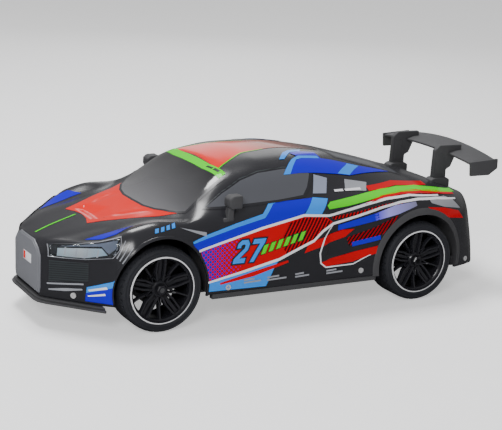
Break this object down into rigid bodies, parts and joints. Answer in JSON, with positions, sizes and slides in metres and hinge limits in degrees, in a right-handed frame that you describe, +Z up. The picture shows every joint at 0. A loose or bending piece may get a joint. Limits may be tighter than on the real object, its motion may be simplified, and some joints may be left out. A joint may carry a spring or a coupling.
{
  "type": "radio-controlled drift car",
  "caption": "Radio-controlled drift car: GT coupe body with rear wing on a tub chassis, steering front wheels and a geared rear axle.",
  "frame": {"origin": "on the ground under the middle of the overall box", "axes": "+X forward to the nose, +Y to the left of the car, +Z up"},
  "size_m": [0.3, 0.1238, 0.0928],
  "materials": {
    "gloss_black": "high gloss",
    "matte_black": "matte, fine moulded grain",
    "grey_plate": "satin",
    "tyre": "matt",
    "rim_black": "gloss, one white painted ring",
    "lens_clear": "clear",
    "lens_red": "clear red",
    "silver_plastic": "metallised",
    "steel": "bright",
    "brass": "machined",
    "nylon_white": "satin",
    "board_green": "solder resist",
    "battery_wrap": "heat-shrink film"
  },
  "bodies": {
    "chassis": {"chassis_tub": "matte_black", "body_shell": "gloss_black", "body_screws": "steel", "nose_plate": "grey_plate", "front_splitter": "matte_black", "rear_diffuser": "matte_black", "kingpins": "steel", "idler_shaft": "steel", "motor": "steel", "wing_plank": "matte_black", "mirror_left": "matte_black", "mirror_right": "matte_black", "servo_case": "matte_black", "gearbox_plate_left": "matte_black", "gearbox_plate_right": "matte_black", "gearbox_lid": "matte_black", "battery_door": "matte_black", "power_switch": "matte_black", "side_skirt_left": "matte_black", "wing_end_plate_left": "matte_black", "wing_upright_left": "matte_black", "headlight_lens_left": "lens_clear", "headlight_bucket_left": "silver_plastic", "tail_lens_left": "lens_red", "side_skirt_right": "matte_black", "wing_end_plate_right": "matte_black", "wing_upright_right": "matte_black", "headlight_lens_right": "lens_clear", "headlight_bucket_right": "silver_plastic", "tail_lens_right": "lens_red", "rear_bushings": "brass", "battery_pack": "battery_wrap", "circuit_board": "board_green"},
    "knuckle_left": {"knuckle_left": "matte_black", "wheel_nut_front_left": "rim_black"},
    "knuckle_right": {"knuckle_right": "matte_black", "wheel_nut_front_right": "rim_black"},
    "wheel_front_left": {"tyre_front_left": "tyre", "rim_front_left": "rim_black"},
    "wheel_front_right": {"tyre_front_right": "tyre", "rim_front_right": "rim_black"},
    "rear_axle": {"rear_axle": "steel", "axle_gear": "nylon_white", "tyre_rear_left": "tyre", "rim_rear_left": "rim_black", "tyre_rear_right": "tyre", "rim_rear_right": "rim_black", "wheel_nut_rear_left": "rim_black", "wheel_nut_rear_right": "rim_black"},
    "idler": {"idler_gear": "nylon_white"},
    "pinion": {"motor_pinion": "brass"},
    "rack": {"steering_rack": "matte_black"},
    "servo_arm": {"servo_arm": "nylon_white"},
    "switch": {"switch_slider": "nylon_white"}
  },
  "joints": [
    {"name": "steer_left", "type": "hinge", "parent": "chassis", "child": "knuckle_left", "pos_m": [0.088, 0.042, 0.025], "axis": [0, 0, 1], "range_deg": [-24, 24]},
    {"name": "steer_right", "type": "hinge", "parent": "chassis", "child": "knuckle_right", "pos_m": [0.088, -0.042, 0.025], "axis": [0, 0, 1], "range_deg": [-24.2, 24.2]},
    {"name": "rack_slide", "type": "slide", "parent": "chassis", "child": "rack", "axis": [0, 1, 0], "range_m": [-0.0042, 0.0042]},
    {"name": "servo_turn", "type": "hinge", "parent": "chassis", "child": "servo_arm", "pos_m": [0.0666, 0, 0.0359], "axis": [0, 0, 1], "range_deg": [-20.5, 20.5]},
    {"name": "front_left_wheel_spin", "type": "hinge", "parent": "knuckle_left", "child": "wheel_front_left", "pos_m": [0.088, 0.0495, 0.025], "axis": [0, 1, 0], "continuous": true},
    {"name": "front_right_wheel_spin", "type": "hinge", "parent": "knuckle_right", "child": "wheel_front_right", "pos_m": [0.088, -0.0495, 0.025], "axis": [0, 1, 0], "continuous": true},
    {"name": "rear_axle_spin", "type": "hinge", "parent": "chassis", "child": "rear_axle", "pos_m": [-0.087, 0, 0.025], "axis": [0, 1, 0], "continuous": true},
    {"name": "idler_spin", "type": "hinge", "parent": "chassis", "child": "idler", "pos_m": [-0.0747, 0, 0.025], "axis": [0, 1, 0], "continuous": true},
    {"name": "pinion_spin", "type": "hinge", "parent": "chassis", "child": "pinion", "pos_m": [-0.0633, 0.0055, 0.025], "axis": [0, 1, 0], "continuous": true},
    {"name": "power_switch_slide", "type": "slide", "parent": "chassis", "child": "switch", "axis": [1, 0, 0], "range_m": [0, 0.004]}
  ],
  "couplings": [
    {"joint": "steer_right", "follows": "steer_left", "ratio": 1},
    {"joint": "rack_slide", "follows": "steer_left", "m_per_rad": -0.00985},
    {"joint": "servo_turn", "follows": "steer_left", "ratio": -0.83},
    {"joint": "idler_spin", "follows": "rear_axle_spin", "ratio": -2.7273},
    {"joint": "pinion_spin", "follows": "rear_axle_spin", "ratio": 7.6364}
  ]
}
